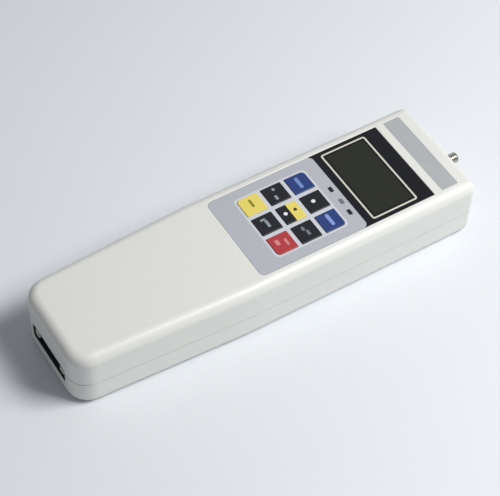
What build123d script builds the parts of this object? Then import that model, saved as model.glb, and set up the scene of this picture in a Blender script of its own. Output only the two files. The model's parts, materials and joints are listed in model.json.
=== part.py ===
"""Hand-held push-pull force gauge with an M6 measuring shaft.

Frame: +X runs along the body towards the shaft, +Y across it, +Z out of the display.
The origin is on the back face, half way along the body. Millimetres.
"""

import os
from math import radians, sqrt, tan

from build123d import *

os.makedirs("parts", exist_ok=True)

# ---------------------------------------------------------------- driving dimensions
# housing
grip_length = 94.0           # tail end to where the sides run parallel
display_part_length = 136.0  # from there to the head end
body_depth = 36.0
head_width = 66.0            # across the display part
tail_width = 56.2            # across the very end of the grip
waist_radius = 320.0         # soft turn between grip and display part
tail_corner_radius = 12.0
front_edge_radius = 5.5
back_edge_radius = 5.0
head_edge_radius = 3.5
side_wall = 2.5
front_wall = 3.5
parting_height = 16.0        # where the two housings meet, above the back
seam_groove = 0.4            # fine groove where the housings meet
lip_height = 1.5             # locating lips of the rear housing, above the seam
lip_wall = 0.8
lip_root = 2.0               # lip below the seam
lip_end_gap = 2.0            # lip to the power socket and to the head pillars
pillar_root = 0.8            # pillars start this deep in the wall that carries them
overcut = 5.0                # cuts run this far past the surface that they open

# display panel in the front, measured from the head end
panel_head_margin = 22.8
window_length = 40.3
keypad_length = 63.2
panel_side_margin = 6.2
panel_recess = 0.8
panel_corner_radius = 3.0
recess_rim = 0.4             # rounded edge round the recess
foil_thickness = 0.6
lay_gap = 0.15               # clearance round anything laid in a recess

# keys
key_columns = 3
key_rows = 3
key_pitch = 14.2
key_length = 11.8
key_width = 11.6
key_thickness = 0.9
key_travel = 0.4
key_corner_radius = 0.6
key_outer_radius = 2.4
key_edge_radius = 0.25
key_block_offset = 15.1      # last key column to the window, edge to centre line
circuit_thickness = 0.5
circuit_margin = 3.0
dome_radius = 3.6
dome_height = 0.35
dome_slope = 60.0            # degrees from upright
dome_clearance = 0.05        # key to dome when the key is fully down
circuit_tail_width = 12.0
connector_length = 5.0
connector_height = 2.4
connector_wall = 2.0
connector_floor = 0.8        # under the end of the circuit's tail

# display
view_length = 27.4           # outside of the light frame line
view_side_margin = 2.3       # view to the edge of the panel
view_tail_margin = 4.2       # window's keypad edge to the view
view_corner_radius = 0.8
lens_step = 1.2
glass_border = 0.8           # glass beyond the view
glass_thickness = 2.8
holder_wall = 1.6
holder_lip = 0.8
strip_width = 2.4
strip_height = 1.3

# label strip near the shaft end
label_length = 9.6
label_side_margin = 6.6
label_head_margin = 8.2
label_thickness = 0.3

# circuit board
board_thickness = 1.6
board_side_gap = 3.0         # board to the inside of the side walls
board_tail_gap = 1.1         # board to the waist pillars
board_head_gap = 3.4         # board to the head pillars
board_corner_radius = 1.6
board_screw_inset = 4.0      # screws from the board's ends
board_screw_edge = 4.5       # and from its sides
board_boss_radius = 3.0
chip_height = 1.6
processor = (24.0, 9.0, 12.0, 12.0)      # from the board's tail end, across, length, width
amplifier = (24.0, -10.0, 10.0, 7.5)
converter = (42.0, 12.0, 9.0, 6.0)
regulator = (42.0, -8.0, 6.0, 9.0)
header_height = 5.0
header_wall = 0.8
port_header = (10.0, 14.0, 5.0, 12.0)
battery_header = (10.0, -14.0, 5.0, 7.0)
cell_header = (33.0, 0.0, 5.0, 9.0)

# measuring shaft
thread_radius = 3.0          # M6
shank_radius = 4.0
shaft_reach = 13.0           # shaft tip beyond the end face
shank_reach = 2.2            # smooth shank beyond the end face
tip_chamfer = 0.6
shaft_travel = 0.3           # each way
stop_margin = 0.1            # gap left at the stops at full travel
running_gap = 0.05
bush_radius = 7.0
bush_flange_radius = 9.0
bush_flange = 1.2
bush_length = 7.0            # inside the end face
collar_radius = 7.0
collar_length = 3.0
collar_to_nut = 1.6
nut_across_flats = 10.0
nut_thickness = 3.2
thread_engagement = 8.0

# load cell
cell_length = 44.0
cell_width = 38.0
cell_thickness = 10.0
cell_bar = 9.5               # end bars that the shaft and the anchor bolt screw into
cell_slot = 2.6
cell_ligament = 6.5          # metal left beyond the blind end of each slot
cell_bore_radius = 6.6
cell_bore_spread = 13.0
cell_neck = 6.6              # opening that joins the two bores
gauge_length = 7.0
gauge_width = 4.0
gauge_thickness = 0.15

# cell bracket
bracket_foot_length = 24.0
bracket_width = 34.0
bracket_plate = 4.0
bracket_upright = 7.0
bracket_top_margin = 1.0     # bracket beyond the load cell's face
bracket_screw_edge = 6.0     # screws from the foot's sides
bracket_lift = 0.25          # foot above the stand-mount bosses
bracket_gusset = 2.5
anchor_head_height = 4.0
anchor_head_gap = 0.3        # relief in the bracket round the anchor bolt's head

# stand mounts in the back
mount_spacing_x = 60.0
mount_spacing_y = 40.0
mount_head_margin = 80.0     # middle of the pattern to the head end
mount_hole_radius = 1.65     # M4 thread
insert_radius = 3.0
insert_length = 7.0
insert_cover = 1.25          # boss above the insert
mount_boss_radius = 4.6

# housing screws (M3)
screw_radius = 1.5
screw_head_radius = 2.75
screw_head_height = 2.0
screw_length = 16.0
screw_gap = 0.05             # thread to hole
screw_clearance = 0.2        # shank in a plain hole
counterbore_clearance = 0.4
screw_tip_gap = 1.0          # blind hole beyond a housing screw
housing_screw_depth = 7.0    # head seat above the back face
boss_radius = 3.6
tail_screw_margin = 13.5
tail_screw_inset = 8.1       # from the grip's sides at the tail
head_screw_margin = 11.0
side_screw_inset = 8.0       # from the sides of the display part
pillar_gap = 0.7             # waist pillars to the battery tray
board_screw_length = 5.0
bracket_screw_length = 8.0
tray_screw_length = 5.0

# battery
cell_battery_radius = 7.1
battery_length = 28.5
battery_rows = 2
battery_columns = 3
battery_gap = 0.4
battery_pole_radius = 2.8
battery_pole_height = 1.0
tray_jack_gap = 2.2          # power socket to the battery tray
tray_floor = 1.2
tray_wall = 1.4
strap_thickness = 0.8
lug_length = 8.0
lug_width = 9.0
tray_boss_height = 3.0
tray_wall_height = 9.0
tray_boss_radius = 3.0

# data socket (9-way D)
port_height = 14.5
bay_length = 5.5
bay_width = 33.0
bay_height = 10.0
bay_floor = 2.0
bay_wall = 2.0
port_flange_width = 30.8
port_flange_height = 12.5
port_flange = 0.8
port_shell_width = 16.9
port_shell_height = 8.4
port_shell_reach = 6.0
port_shell_wall = 0.5
port_slant = 10.0            # degrees
port_corner_radius = 2.2
post_spacing = 25.0
post_across_flats = 4.75
post_length = 5.0
post_hole_radius = 1.3
contact_pitch = 2.76
contact_row_pitch = 2.84
contact_radius = 0.75
contact_hole_radius = 0.5
insert_setback = 0.3
contact_tail = 9.0
port_body_depth = 4.0
port_thread_reach = 2.0      # posts beyond the flange
port_board_gap = 0.9         # port board to the tail pillars
port_board_height = 16.0

# power socket in the grip's side
jack_height = 10.0
jack_tail_margin = 28.0
jack_collar_radius = 4.0
jack_bore_radius = 3.1
jack_pin_radius = 1.0
jack_bore_depth = 9.5
jack_body_length = 11.0
jack_body_width = 12.0
jack_body_height = 9.0
jack_flat_depth = 0.5        # round flat sunk in the side round the socket
jack_flat_width = 2.0        # flat beyond the socket's collar
jack_wall_gap = 0.8          # the side slants, the socket's face doesn't

# ---------------------------------------------------------------- places from the sizes
body_length = grip_length + display_part_length
head_x = body_length / 2
tail_x = -body_length / 2

axis_height = body_depth / 2                          # the shaft is in the middle of the depth

panel_width = head_width - 2 * panel_side_margin
panel_head_x = head_x - panel_head_margin
window_tail_x = panel_head_x - window_length
panel_tail_x = window_tail_x - keypad_length
recess_floor = body_depth - panel_recess
foil_top = recess_floor + foil_thickness
front_inside = body_depth - front_wall

key_head_x = window_tail_x - key_block_offset
key_middle_x = key_head_x - (key_columns - 1) * key_pitch / 2
key_block_length = (key_columns - 1) * key_pitch + key_length
key_block_width = (key_rows - 1) * key_pitch + key_width
circuit_length = key_block_length + 2 * circuit_margin
circuit_width = key_block_width + 2 * circuit_margin
key_bottom = recess_floor + lay_gap
dome_top = key_bottom - key_travel - dome_clearance
circuit_top = dome_top - dome_height
circuit_bottom = circuit_top - circuit_thickness
key_names = [
    ["shift_key", "menu_key", "power_key"],
    ["unit_key", "enter_key", "mode_key"],
    ["zero_key", "up_key", "peak_key"],
]

view_width = panel_width - 2 * view_side_margin
view_x = window_tail_x + view_tail_margin + view_length / 2
lens_bottom = recess_floor - lens_step
glass_length = view_length + 2 * glass_border
glass_width = view_width + 2 * glass_border
glass_top = front_inside - holder_lip
glass_bottom = glass_top - glass_thickness
holder_length = glass_length + 2 * (lay_gap + holder_wall)
holder_width = glass_width + 2 * (lay_gap + holder_wall)

label_width = head_width - 2 * label_side_margin
label_x = head_x - label_head_margin - label_length / 2

stop_gap = shaft_travel + stop_margin                 # stop collar to bush, lock nut to load cell
bush_inner_x = head_x - bush_length
collar_head_x = bush_inner_x - stop_gap
nut_head_x = collar_head_x - collar_length - collar_to_nut
cell_head_x = nut_head_x - nut_thickness - stop_gap
cell_tail_x = cell_head_x - cell_length
cell_x = (cell_head_x + cell_tail_x) / 2
cell_bottom = axis_height - cell_thickness / 2

mount_boss_top = insert_length + insert_cover
bracket_seat = mount_boss_top + bracket_lift
bracket_x = cell_tail_x - bracket_foot_length / 2
bracket_foot_x = bracket_x - bracket_upright / 2      # middle of the foot that the upright leaves free
bracket_screw_pitch = (bracket_foot_length - bracket_upright) / 2
bracket_screw_across = bracket_width - 2 * bracket_screw_edge
bracket_screw_spots = [
    (bracket_foot_x + side * bracket_screw_pitch / 2, across * bracket_screw_across / 2)
    for side in (-1, 1)
    for across in (-1, 1)
]

mount_x = head_x - mount_head_margin
mount_spots = [
    (mount_x + side * mount_spacing_x / 2, across * mount_spacing_y / 2)
    for side in (-1, 1)
    for across in (-1, 1)
]

jack_x = tail_x + jack_tail_margin
battery_pitch_y = 2 * cell_battery_radius + battery_gap
battery_pitch_x = battery_length + battery_gap
pack_length = battery_rows * battery_pitch_x + battery_gap
pack_width = battery_columns * battery_pitch_y + battery_gap
tray_length = pack_length + 2 * (battery_gap + tray_wall)
pack_x = jack_x + jack_body_width / 2 + tray_jack_gap + tray_length / 2
tray_lug_x = tray_length / 2 + lug_length / 2         # from the middle of the pack
tray_screw_spots = [(pack_x - tray_lug_x, 0), (pack_x + tray_lug_x, 0)]
tray_seat = side_wall
battery_height = tray_seat + tray_floor + cell_battery_radius + battery_gap / 2
battery_top = battery_height + cell_battery_radius

port_plane_x = tail_x + bay_length + bay_floor        # inside face of the bay's floor
port_shell_x = port_plane_x + port_flange - port_shell_reach
port_body_x = port_plane_x + port_flange + port_body_depth

tail_screw_y = tail_width / 2 - tail_screw_inset
side_screw_y = head_width / 2 - side_screw_inset
waist_screw_x = pack_x + tray_length / 2 + pillar_gap + boss_radius
head_screw_x = head_x - head_screw_margin
housing_screw_spots = [
    (x, side * y)
    for x, y in (
        (tail_x + tail_screw_margin, tail_screw_y),
        (waist_screw_x, side_screw_y),
        (head_screw_x, side_screw_y),
    )
    for side in (-1, 1)
]
port_board_width = 2 * (tail_screw_y - boss_radius - port_board_gap)

board_top = glass_bottom - strip_height
board_bottom = board_top - board_thickness
board_tail_x = waist_screw_x + boss_radius + board_tail_gap
board_head_x = head_screw_x - boss_radius - board_head_gap
board_x = (board_tail_x + board_head_x) / 2
board_length = board_head_x - board_tail_x
board_width = head_width - 2 * (side_wall + board_side_gap)
board_screw_spots = [
    (board_x + side * (board_length / 2 - board_screw_inset), across * (board_width / 2 - board_screw_edge))
    for side in (-1, 1)
    for across in (-1, 1)
]


# ---------------------------------------------------------------- shared shapes
def outline(inset):
    """Plan of the body, drawn in by inset: parallel display part, grip narrowing to the tail."""
    with BuildSketch() as plan:
        with BuildLine():
            Polyline(
                (tail_x, -tail_width / 2),
                (tail_x + grip_length, -head_width / 2),
                (head_x, -head_width / 2),
                (head_x, head_width / 2),
                (tail_x + grip_length, head_width / 2),
                (tail_x, tail_width / 2),
                close=True,
            )
        make_face()
        by_x = plan.vertices().group_by(Axis.X)
        fillet(by_x[1], radius=waist_radius)
        fillet(plan.vertices().group_by(Axis.X)[0], radius=tail_corner_radius)
        if inset > 0:
            offset(amount=-inset, kind=Kind.INTERSECTION, mode=Mode.REPLACE)
    return plan.sketch


def body_form(side_inset, front_inset):
    """The rounded body, or with insets the space inside it."""
    with BuildPart() as form:
        with BuildSketch(Plane.XY.offset(side_inset)):
            add(outline(side_inset))
        extrude(amount=body_depth - side_inset - front_inset)
        front_face = form.faces().sort_by(Axis.Z)[-1]
        fillet(front_face.edges().sort_by(Axis.X)[:-1], radius=front_edge_radius - side_inset)
        back_face = form.faces().sort_by(Axis.Z)[0]
        fillet(back_face.edges().sort_by(Axis.X)[:-1], radius=back_edge_radius - side_inset)
        head_face = form.faces().sort_by(Axis.X)[-1]
        fillet(head_face.edges(), radius=head_edge_radius - side_inset)
    return form.part


def rounded_plate(length, width, radius, x, z, height, y=0.0):
    """A plate with round corners, standing on height z."""
    with BuildPart() as plate:
        with BuildSketch(Plane((x, y, z))):
            RectangleRounded(length, width, radius)
        extrude(amount=height)
    return plate.part


def screw(spots, seat, length, up=1):
    """Pan-head screws, one for each spot: the head sits on the seat and the shank points along up."""
    with BuildPart() as screws:
        for x, y in spots:
            with BuildSketch(Plane((x, y, seat), z_dir=(0, 0, up))):
                Circle(screw_radius)
            extrude(amount=length)
            with BuildSketch(Plane((x, y, seat), z_dir=(0, 0, -up))):
                Circle(screw_head_radius)
            extrude(amount=screw_head_height)
    return screws.part


def d_profile(plane, grow=0.0):
    """The D of the data socket: wide at the top, sides slanting in, round corners."""
    half_top = port_shell_width / 2 + grow
    half_height = port_shell_height / 2 + grow
    lean = 2 * half_height * tan(radians(port_slant))
    with BuildSketch(plane) as profile:
        with BuildLine():
            Polyline(
                (-half_top, half_height),
                (half_top, half_height),
                (half_top - lean, -half_height),
                (-half_top + lean, -half_height),
                close=True,
            )
        make_face()
        fillet(profile.vertices(), radius=port_corner_radius + grow)
    return profile.sketch


def foil_plan(grow=0.0):
    """Outline of the keypad foil, lying on the plane of the caller's sketch."""
    with BuildSketch() as plan:
        with Locations(((panel_tail_x + window_tail_x) / 2, 0)):
            RectangleRounded(
                keypad_length - 2 * lay_gap + 2 * grow,
                panel_width - 2 * lay_gap + 2 * grow,
                panel_corner_radius + grow,
            )
    return plan.sketch


def key_plan(column, row, grow=0.0):
    """Outline of one key. The corner that is also a corner of the whole block is rounder."""
    with BuildSketch() as plan:
        with Locations(key_place(column, row)):
            Rectangle(key_length + 2 * grow, key_width + 2 * grow)
        corners = plan.vertices().sort_by_distance((key_middle_x, 0))
        if column in (0, key_columns - 1) and row in (0, key_rows - 1):
            fillet(corners[:-1], radius=key_corner_radius)
            outer = plan.vertices().sort_by_distance((key_middle_x, 0))[-1]
            fillet(outer, radius=key_outer_radius)
        else:
            fillet(corners, radius=key_corner_radius)
    return plan.sketch


def turned(profile_points, plane_x, height):
    """A turned piece on an axis along X at the given height: points are (x from plane_x, radius)."""
    with BuildPart() as piece:
        with BuildSketch(Plane((plane_x, 0, height), x_dir=(1, 0, 0), z_dir=(0, -1, 0))):
            with BuildLine():
                Polyline(*profile_points, close=True)
            make_face()
        revolve(axis=Axis((plane_x, 0, height), (1, 0, 0)))
    return piece.part


def across_x(x, y, z):
    """A sketch plane square to the shaft axis, its own x along +Y, looking towards the shaft."""
    return Plane((x, y, z), x_dir=(0, 1, 0), z_dir=(1, 0, 0))


def facing_down(spots, z):
    """Planes at the spots that face down, so that a hole made on them runs up."""
    return [Plane((x, y, z), z_dir=(0, 0, -1)) for x, y in spots]


def key_place(column, row):
    """Middle of a key: column 0 is nearest the grip, row 0 is at +Y."""
    x = key_middle_x + (column - (key_columns - 1) / 2) * key_pitch
    y = ((key_rows - 1) / 2 - row) * key_pitch
    return x, y


def save(part, name):
    """Label a finished piece and write it."""
    part.label = name
    export_step(part, f"parts/{name}.step")
    print(name, round(part.volume, 1))


# ---------------------------------------------------------------- housings
jack_side_y = tail_width / 2 + (head_width - tail_width) / 2 * jack_tail_margin / grip_length
jack_seat_y = jack_side_y - side_wall - jack_wall_gap
jack_outer_y = jack_side_y - jack_flat_depth

with BuildPart() as housing_blank:
    add(body_form(0, 0))
    add(body_form(side_wall, front_wall), mode=Mode.SUBTRACT)
    # groove round the seam
    with BuildSketch(Plane.XY.offset(parting_height - seam_groove / 2)):
        add(outline(0))
        add(outline(seam_groove), mode=Mode.SUBTRACT)
    extrude(amount=seam_groove, mode=Mode.SUBTRACT)
    # bay that the data plug goes into, with its own walls and floor
    with BuildSketch(across_x(tail_x + side_wall / 2, 0, port_height)):
        RectangleRounded(bay_width + 2 * bay_wall, bay_height + 2 * bay_wall, bay_wall)
    extrude(amount=bay_length + bay_floor - side_wall / 2)
    with BuildSketch(across_x(tail_x + bay_length, 0, port_height)):
        RectangleRounded(bay_width, bay_height, bay_wall)
    extrude(amount=-bay_length - overcut, mode=Mode.SUBTRACT)
    with BuildSketch(across_x(tail_x + bay_length, 0, port_height)):
        add(d_profile(Plane.XY, lay_gap))
        with Locations((-post_spacing / 2, 0), (post_spacing / 2, 0)):
            Circle(screw_radius + screw_clearance)
    extrude(amount=bay_floor, mode=Mode.SUBTRACT)
    # boss and hole for the guide bush
    with BuildSketch(across_x(bush_inner_x, 0, axis_height)):
        Circle(bush_radius + side_wall)
    extrude(amount=bush_length - side_wall / 2)
    with BuildSketch(across_x(bush_inner_x, 0, axis_height)):
        Circle(bush_radius + screw_gap)
    extrude(amount=bush_length, mode=Mode.SUBTRACT)
    # hole and flat for the power socket in the grip's side
    with BuildSketch(Plane((jack_x, jack_outer_y, jack_height), x_dir=(1, 0, 0), z_dir=(0, 1, 0))):
        Circle(jack_collar_radius + jack_flat_width)
    extrude(amount=overcut, mode=Mode.SUBTRACT)
    with BuildSketch(Plane((jack_x, jack_outer_y, jack_height), x_dir=(1, 0, 0), z_dir=(0, -1, 0))):
        Circle(jack_collar_radius + lay_gap)
    extrude(amount=overcut, mode=Mode.SUBTRACT)

tail_slot_x = key_middle_x + circuit_length / 2 - circuit_margin / 2

with BuildPart() as front_housing:
    add(housing_blank.part)
    split(bisect_by=Plane.XY.offset(parting_height), keep=Keep.TOP)
    # shallow recess that the foil and the window lie in
    with BuildSketch(Plane.XY.offset(recess_floor)) as recess:
        with Locations(((panel_tail_x + panel_head_x) / 2, 0)):
            Rectangle(panel_head_x - panel_tail_x, panel_width)
        fillet(recess.vertices().group_by(Axis.X)[0], radius=panel_corner_radius + lay_gap)
        fillet(recess.vertices().group_by(Axis.X)[-1], radius=key_corner_radius)
    extrude(amount=overcut, mode=Mode.SUBTRACT)
    rim = front_housing.faces().filter_by(Axis.Z).sort_by(Axis.Z)[-1].inner_wires()[0]
    fillet(rim.edges(), radius=recess_rim)
    # deeper pocket for the keypad circuit, and the slot its tail goes through
    with BuildSketch(Plane.XY.offset(circuit_bottom)):
        with Locations((key_middle_x, 0)):
            RectangleRounded(circuit_length + 2 * lay_gap, circuit_width + 2 * lay_gap, key_outer_radius)
    extrude(amount=overcut, mode=Mode.SUBTRACT)
    with BuildSketch(Plane.XY.offset(circuit_bottom)):
        with Locations((tail_slot_x, 0)):
            Rectangle(circuit_thickness + 4 * lay_gap, circuit_tail_width + 4 * lay_gap)
    extrude(amount=-overcut, mode=Mode.SUBTRACT)
    # opening under the window
    with BuildSketch(Plane.XY.offset(recess_floor)):
        with Locations((view_x, 0)):
            RectangleRounded(view_length, view_width, view_corner_radius)
    extrude(amount=-overcut, mode=Mode.SUBTRACT)
    # shallow bed of the label strip
    with BuildSketch(Plane.XY.offset(body_depth - label_thickness)):
        with Locations((label_x, 0)):
            Rectangle(label_length + 2 * lay_gap, label_width + 2 * lay_gap)
    extrude(amount=overcut, mode=Mode.SUBTRACT)
    # pillars for the housing screws and the circuit board
    with BuildSketch(Plane.XY.offset(parting_height)):
        with Locations(*housing_screw_spots):
            Circle(boss_radius)
    extrude(amount=front_inside + pillar_root - parting_height)
    with BuildSketch(Plane.XY.offset(board_top)):
        with Locations(*board_screw_spots):
            Circle(board_boss_radius)
    extrude(amount=front_inside + pillar_root - board_top)
    with Locations(*facing_down(housing_screw_spots, parting_height)):
        Hole(screw_radius + screw_gap, housing_screw_depth + screw_length + screw_tip_gap - parting_height)
    with Locations(*facing_down(board_screw_spots, board_top)):
        Hole(screw_radius + screw_gap, board_screw_length - board_thickness + screw_clearance)
save(front_housing.part, "front_housing")

with BuildPart() as rear_housing:
    add(housing_blank.part)
    split(bisect_by=Plane.XY.offset(parting_height), keep=Keep.BOTTOM)
    # lips along both sides that fit inside the front housing
    lip_tail_x = jack_x + jack_body_width / 2 + lip_end_gap
    lip_head_x = head_screw_x - boss_radius - lip_end_gap
    for lip_outside, base, height in (
        (side_wall - lip_wall, parting_height - lip_root, lip_root),
        (side_wall + screw_gap, parting_height, lip_height),
    ):
        with BuildSketch(Plane.XY.offset(base)):
            add(outline(lip_outside))
            add(outline(side_wall + screw_gap + lip_wall), mode=Mode.SUBTRACT)
            with Locations(((lip_tail_x + lip_head_x) / 2, 0)):
                Rectangle(lip_head_x - lip_tail_x, head_width, mode=Mode.INTERSECT)
        extrude(amount=height)
    inside = side_wall - pillar_root
    with BuildSketch(Plane.XY.offset(inside)):
        with Locations(*housing_screw_spots):
            Circle(boss_radius)
    extrude(amount=parting_height - inside)
    with BuildSketch(Plane.XY.offset(inside)):
        with Locations(*mount_spots):
            Circle(mount_boss_radius)
    extrude(amount=mount_boss_top - inside)
    with BuildSketch(Plane.XY.offset(inside)):
        with Locations(*bracket_screw_spots):
            Circle(boss_radius)
    extrude(amount=bracket_seat - inside)
    with BuildSketch(Plane.XY.offset(inside)):
        with Locations(*tray_screw_spots):
            Circle(tray_boss_radius)
    extrude(amount=tray_seat + tray_boss_height - inside)
    # bed under the power socket
    with BuildSketch(Plane.XY.offset(inside)):
        with Locations((jack_x, jack_seat_y - jack_body_length / 2)):
            Rectangle(jack_body_width, jack_body_length)
    extrude(amount=jack_height - jack_body_height / 2 - inside)
    # holes: housing screws with their counterbores, inserts, bracket and tray screws
    head_bore_radius = screw_head_radius + counterbore_clearance
    with Locations(*facing_down(housing_screw_spots, 0)):
        CounterBoreHole(screw_radius + screw_clearance, head_bore_radius, housing_screw_depth, parting_height)
    with Locations(*facing_down(mount_spots, 0)):
        Hole(insert_radius + screw_gap, insert_length)
    with Locations(*[(x, y, bracket_seat) for x, y in bracket_screw_spots]):
        Hole(screw_radius + screw_gap, bracket_screw_length - bracket_plate + screw_clearance)
    with Locations(*[(x, y, tray_seat + tray_boss_height) for x, y in tray_screw_spots]):
        Hole(screw_radius + screw_gap, tray_screw_length - tray_floor - strap_thickness + screw_clearance)
save(rear_housing.part, "rear_housing")

save(screw(housing_screw_spots, housing_screw_depth, screw_length), "housing_screws")

with BuildPart() as mount_inserts:
    with BuildSketch():
        with Locations(*mount_spots):
            Circle(insert_radius)
            Circle(mount_hole_radius, mode=Mode.SUBTRACT)
    extrude(amount=insert_length)
save(mount_inserts.part, "mount_inserts")

# ---------------------------------------------------------------- keypad
with BuildPart() as keypad_overlay:
    with BuildSketch(Plane.XY.offset(recess_floor)):
        add(foil_plan())
        for column in range(key_columns):
            for row in range(key_rows):
                add(key_plan(column, row, lay_gap), mode=Mode.SUBTRACT)
    extrude(amount=foil_thickness)
save(keypad_overlay.part, "keypad_overlay")

for column in range(key_columns):
    for row in range(key_rows):
        with BuildPart() as key:
            with BuildSketch(Plane.XY.offset(key_bottom)):
                add(key_plan(column, row))
            extrude(amount=key_thickness)
            fillet(key.faces().sort_by(Axis.Z)[-1].edges(), radius=key_edge_radius)
        save(key.part, key_names[column][row])

tail_bottom = board_top + connector_floor

with BuildPart() as keypad_circuit:
    with BuildSketch(Plane.XY.offset(circuit_bottom)):
        with Locations((key_middle_x, 0)):
            RectangleRounded(circuit_length, circuit_width, key_outer_radius)
    extrude(amount=circuit_thickness)
    with BuildSketch(Plane.XY.offset(tail_bottom)):
        with Locations((tail_slot_x, 0)):
            Rectangle(circuit_thickness, circuit_tail_width)
    extrude(amount=circuit_top - tail_bottom)
save(keypad_circuit.part, "keypad_circuit")

with BuildPart() as contact_domes:
    for column in range(key_columns):
        for row in range(key_rows):
            with BuildSketch(Plane((*key_place(column, row), circuit_top))):
                Circle(dome_radius)
            extrude(amount=dome_height, taper=dome_slope)
save(contact_domes.part, "contact_domes")

with BuildPart() as tail_connector:
    with BuildSketch(Plane.XY.offset(board_top)):
        with Locations((tail_slot_x, 0)):
            Rectangle(connector_length, circuit_tail_width + 2 * connector_wall)
    extrude(amount=connector_height)
    with BuildSketch(Plane.XY.offset(tail_bottom)):
        with Locations((tail_slot_x, 0)):
            Rectangle(circuit_thickness + lay_gap, circuit_tail_width + lay_gap)
    extrude(amount=connector_height, mode=Mode.SUBTRACT)
save(tail_connector.part, "tail_connector")

# ---------------------------------------------------------------- display
with BuildPart() as display_window:
    with BuildSketch(Plane.XY.offset(recess_floor)):
        window_start = window_tail_x - panel_corner_radius
        with Locations(((window_start + panel_head_x - lay_gap) / 2, 0)):
            Rectangle(panel_head_x - lay_gap - window_start, panel_width - 2 * lay_gap)
        add(foil_plan(lay_gap), mode=Mode.SUBTRACT)
    extrude(amount=foil_thickness)
    with BuildSketch(Plane.XY.offset(lens_bottom)):
        with Locations((view_x, 0)):
            RectangleRounded(view_length - 2 * lay_gap, view_width - 2 * lay_gap, view_corner_radius - lay_gap)
    extrude(amount=lens_step)
save(display_window.part, "display_window")

save(rounded_plate(glass_length, glass_width, lay_gap, view_x, glass_bottom, glass_thickness), "display_glass")

with BuildPart() as display_holder:
    with BuildSketch(Plane.XY.offset(board_top)):
        with Locations((view_x, 0)):
            RectangleRounded(holder_length, holder_width, holder_wall)
    extrude(amount=front_inside - board_top)
    with BuildSketch(Plane.XY.offset(board_top)):
        with Locations((view_x, 0)):
            Rectangle(glass_length + 2 * lay_gap, glass_width + 2 * lay_gap)
    extrude(amount=glass_top - board_top, mode=Mode.SUBTRACT)
    with BuildSketch(Plane.XY.offset(glass_top)):
        with Locations((view_x, 0)):
            RectangleRounded(view_length, view_width, view_corner_radius)
    extrude(amount=holder_lip, mode=Mode.SUBTRACT)
save(display_holder.part, "display_holder")

with BuildPart() as contact_strips:
    with BuildSketch(Plane.XY.offset(board_top)):
        for side in (-1, 1):
            with Locations((view_x + side * (glass_length - strip_width) / 2, 0)):
                Rectangle(strip_width, glass_width - 2 * holder_wall)
    extrude(amount=glass_bottom - board_top)
save(contact_strips.part, "contact_strips")

with BuildPart() as label_strip:
    with BuildSketch(Plane.XY.offset(body_depth - label_thickness)):
        with Locations((label_x, 0)):
            Rectangle(label_length, label_width)
    extrude(amount=label_thickness)
save(label_strip.part, "label_strip")

# ---------------------------------------------------------------- circuit board
with BuildPart() as main_board:
    with BuildSketch(Plane.XY.offset(board_bottom)):
        with Locations((board_x, 0)):
            RectangleRounded(board_length, board_width, board_corner_radius)
        with Locations(*board_screw_spots):
            Circle(screw_radius + screw_clearance, mode=Mode.SUBTRACT)
    extrude(amount=board_thickness)
save(main_board.part, "main_board")

save(screw(board_screw_spots, board_bottom, board_screw_length), "board_screws")

with BuildPart() as board_chips:
    for along, across, length, width in (processor, amplifier, converter, regulator):
        with BuildSketch(Plane.XY.offset(board_bottom)):
            with Locations((board_tail_x + along, across)):
                Rectangle(length, width)
        extrude(amount=-chip_height)
save(board_chips.part, "board_chips")

with BuildPart() as board_headers:
    for along, across, length, width in (port_header, battery_header, cell_header):
        with BuildSketch(Plane.XY.offset(board_bottom)):
            with Locations((board_tail_x + along, across)):
                Rectangle(length, width)
        extrude(amount=-header_height)
        with BuildSketch(Plane.XY.offset(board_bottom - header_wall)):
            with Locations((board_tail_x + along, across)):
                Rectangle(length - 2 * header_wall, width - 2 * header_wall)
        extrude(amount=-header_height, mode=Mode.SUBTRACT)
save(board_headers.part, "board_headers")

# ---------------------------------------------------------------- measuring shaft
shaft_tail = -(nut_thickness + stop_gap + thread_engagement)
shank_length = head_x + shank_reach - nut_head_x
tip = head_x + shaft_reach - nut_head_x
measuring_shaft = turned(
    [
        (shaft_tail, 0),
        (shaft_tail, thread_radius),
        (0, thread_radius),
        (0, shank_radius),
        (shank_length, shank_radius),
        (shank_length, thread_radius),
        (tip - tip_chamfer, thread_radius),
        (tip, thread_radius - tip_chamfer),
        (tip, 0),
    ],
    nut_head_x,
    axis_height,
)
save(measuring_shaft, "measuring_shaft")

with BuildPart() as shaft_lock_nut:
    with BuildSketch(across_x(nut_head_x - nut_thickness, 0, axis_height)):
        RegularPolygon(nut_across_flats / 2, 6, major_radius=False)
        Circle(thread_radius + screw_gap, mode=Mode.SUBTRACT)
    extrude(amount=nut_thickness)
save(shaft_lock_nut.part, "shaft_lock_nut")

with BuildPart() as stop_collar:
    with BuildSketch(across_x(collar_head_x - collar_length, 0, axis_height)):
        Circle(collar_radius)
        Circle(shank_radius + screw_gap, mode=Mode.SUBTRACT)
    extrude(amount=collar_length)
save(stop_collar.part, "stop_collar")

guide_bush = turned(
    [
        (0, shank_radius + running_gap),
        (0, bush_radius),
        (bush_length, bush_radius),
        (bush_length, bush_flange_radius),
        (bush_length + bush_flange - tip_chamfer, bush_flange_radius),
        (bush_length + bush_flange, bush_flange_radius - tip_chamfer),
        (bush_length + bush_flange, shank_radius + running_gap),
    ],
    bush_inner_x,
    axis_height,
)
save(guide_bush, "guide_bush")

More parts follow.
